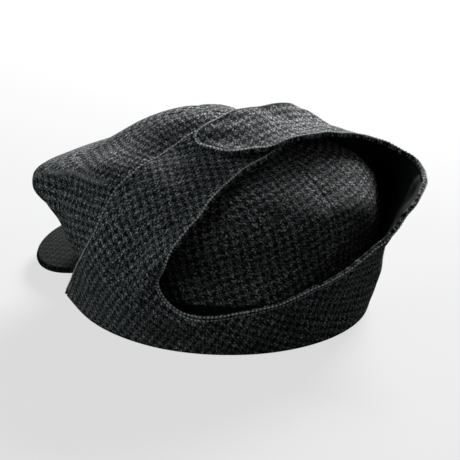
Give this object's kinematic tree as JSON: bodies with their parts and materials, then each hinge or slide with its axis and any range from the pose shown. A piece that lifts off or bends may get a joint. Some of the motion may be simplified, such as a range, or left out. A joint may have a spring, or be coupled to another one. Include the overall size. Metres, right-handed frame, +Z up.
{
  "type": "deerstalker hat",
  "caption": "Soft wool tweed cap with a short stiff peak and ear flaps turned up and crossed over the crown.",
  "frame": {"origin": "middle of the hat's outline seen from above, on the floor it stands on", "axes": "+Z up, -Y the way the peak points, +X the wearer's left"},
  "size_m": [0.203, 0.2564, 0.1223],
  "materials": {
    "tweed_crown": "charcoal and grey puppytooth wool tweed, brushed",
    "tweed_flap": "charcoal and grey puppytooth wool tweed, topstitched edge",
    "tweed_peak": "charcoal and grey puppytooth wool tweed over a stiff board",
    "band_cloth": "plain dark wool cloth"
  },
  "bodies": {
    "root": {"headband": "band_cloth", "crown_panel_1": "tweed_crown", "crown_panel_2": "tweed_crown", "crown_panel_3": "tweed_crown", "crown_panel_4": "tweed_crown", "crown_panel_5": "tweed_crown", "crown_panel_6": "tweed_crown", "crown_panel_7": "tweed_crown", "crown_panel_8": "tweed_crown", "ear_flap_wrap": "tweed_flap", "peak": "tweed_peak"}
  },
  "joints": []
}
